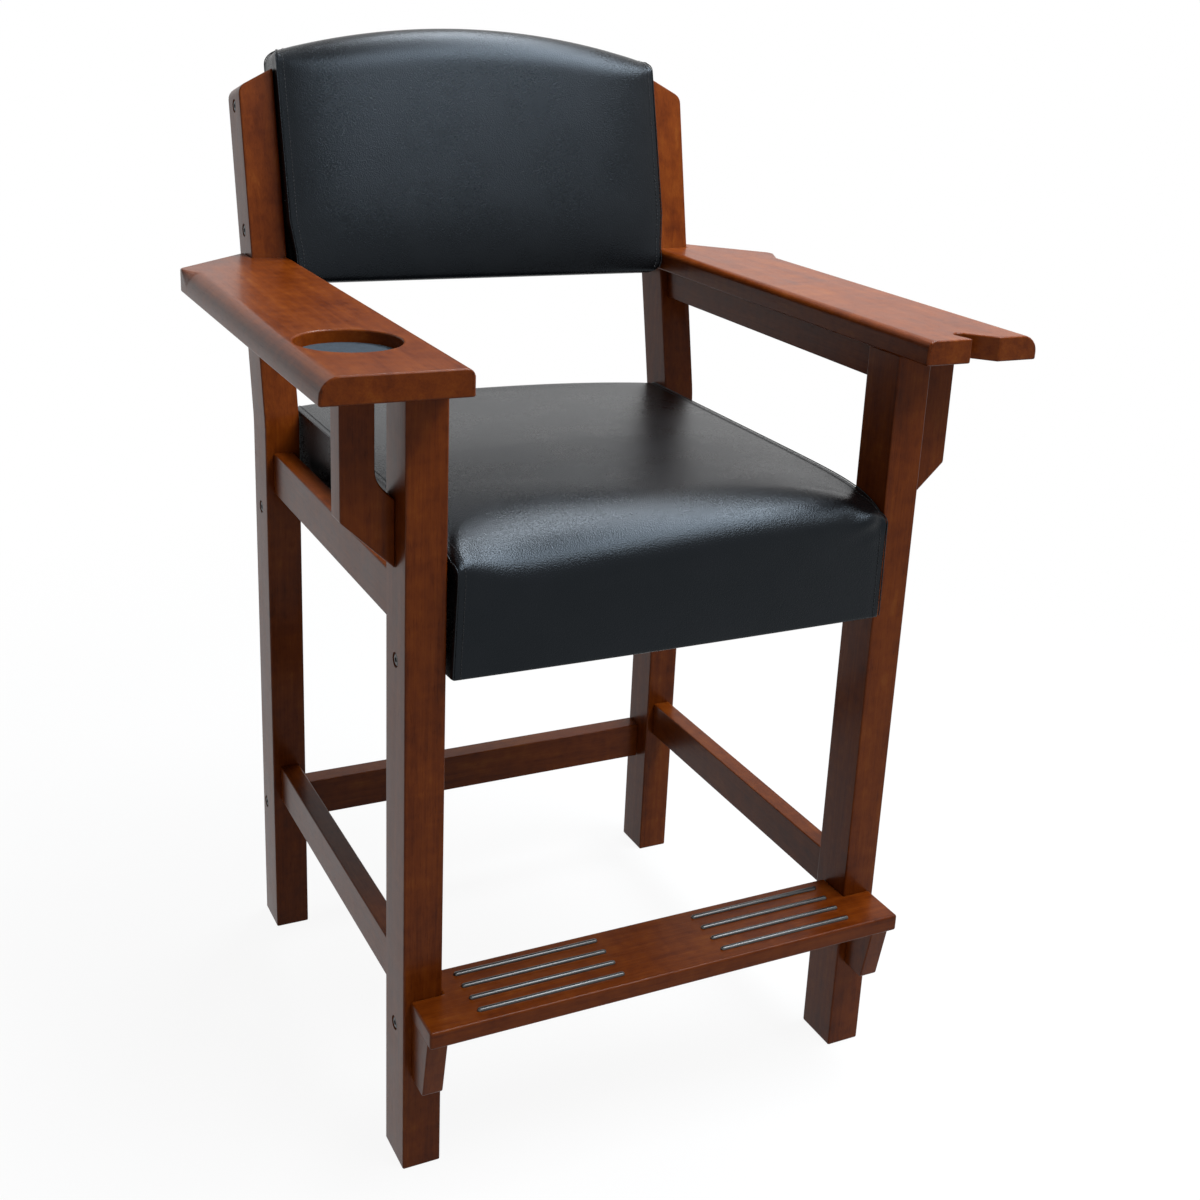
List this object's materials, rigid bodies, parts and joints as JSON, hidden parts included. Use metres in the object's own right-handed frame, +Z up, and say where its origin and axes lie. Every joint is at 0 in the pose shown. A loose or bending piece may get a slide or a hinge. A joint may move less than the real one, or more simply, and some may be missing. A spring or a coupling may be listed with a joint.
{
  "type": "billiard spectator chair",
  "caption": "Tall wooden spectator chair with an upholstered seat and arched back, wide arms with a cup recess and a cue notch, and a ribbed footrest.",
  "frame": {"origin": "on the floor under the middle of the chair's bounding box", "axes": "+Z up, the chair faces -Y, +X is to the right as seen from the front (the arm with the cue notch)"},
  "size_m": [0.796, 0.7296, 1.1785],
  "materials": {
    "stained_wood": "reddish brown stain under satin lacquer",
    "plywood": "bare",
    "black_vinyl": "fine-grained black vinyl",
    "grey_felt": "felt",
    "black_rubber": "smooth",
    "black_steel": "black oxide",
    "zinc_plate": "zinc plated",
    "black_cambric": "woven dust cover"
  },
  "bodies": {
    "root": {"footrest_board": "stained_wood", "front_stretcher": "stained_wood", "left_arm": "stained_wood", "left_arm_bracket": "stained_wood", "left_arm_rail": "stained_wood", "left_footrest_bracket": "stained_wood", "left_front_leg": "stained_wood", "left_rear_post": "stained_wood", "left_seat_rail": "stained_wood", "left_side_stretcher": "stained_wood", "rear_stretcher": "stained_wood", "right_arm": "stained_wood", "right_arm_bracket": "stained_wood", "right_arm_rail": "stained_wood", "right_footrest_bracket": "stained_wood", "right_front_leg": "stained_wood", "right_rear_post": "stained_wood", "right_seat_rail": "stained_wood", "right_side_stretcher": "stained_wood", "seat_front_rail": "stained_wood", "seat_rear_rail": "stained_wood", "back_board": "plywood", "seat_deck": "plywood", "back_cushion": "black_vinyl", "seat_cushion": "black_vinyl", "cup_felt": "grey_felt", "left_tread_rib_1": "black_rubber", "left_tread_rib_2": "black_rubber", "left_tread_rib_3": "black_rubber", "left_tread_rib_4": "black_rubber", "right_tread_rib_1": "black_rubber", "right_tread_rib_2": "black_rubber", "right_tread_rib_3": "black_rubber", "right_tread_rib_4": "black_rubber", "left_back_lower_bolt": "black_steel", "left_back_upper_bolt": "black_steel", "left_front_stretcher_bolt": "black_steel", "left_rear_stretcher_bolt": "black_steel", "left_seat_front_bolt": "black_steel", "left_seat_rear_bolt": "black_steel", "right_back_lower_bolt": "black_steel", "right_back_upper_bolt": "black_steel", "right_front_stretcher_bolt": "black_steel", "right_rear_stretcher_bolt": "black_steel", "right_seat_front_bolt": "black_steel", "right_seat_rear_bolt": "black_steel", "left_back_lower_nut": "zinc_plate", "left_back_upper_nut": "zinc_plate", "left_front_stretcher_nut": "zinc_plate", "left_rear_stretcher_nut": "zinc_plate", "left_seat_front_nut": "zinc_plate", "left_seat_rear_nut": "zinc_plate", "right_back_lower_nut": "zinc_plate", "right_back_upper_nut": "zinc_plate", "right_front_stretcher_nut": "zinc_plate", "right_rear_stretcher_nut": "zinc_plate", "right_seat_front_nut": "zinc_plate", "right_seat_rear_nut": "zinc_plate", "seat_dust_cover": "black_cambric"}
  },
  "joints": []
}
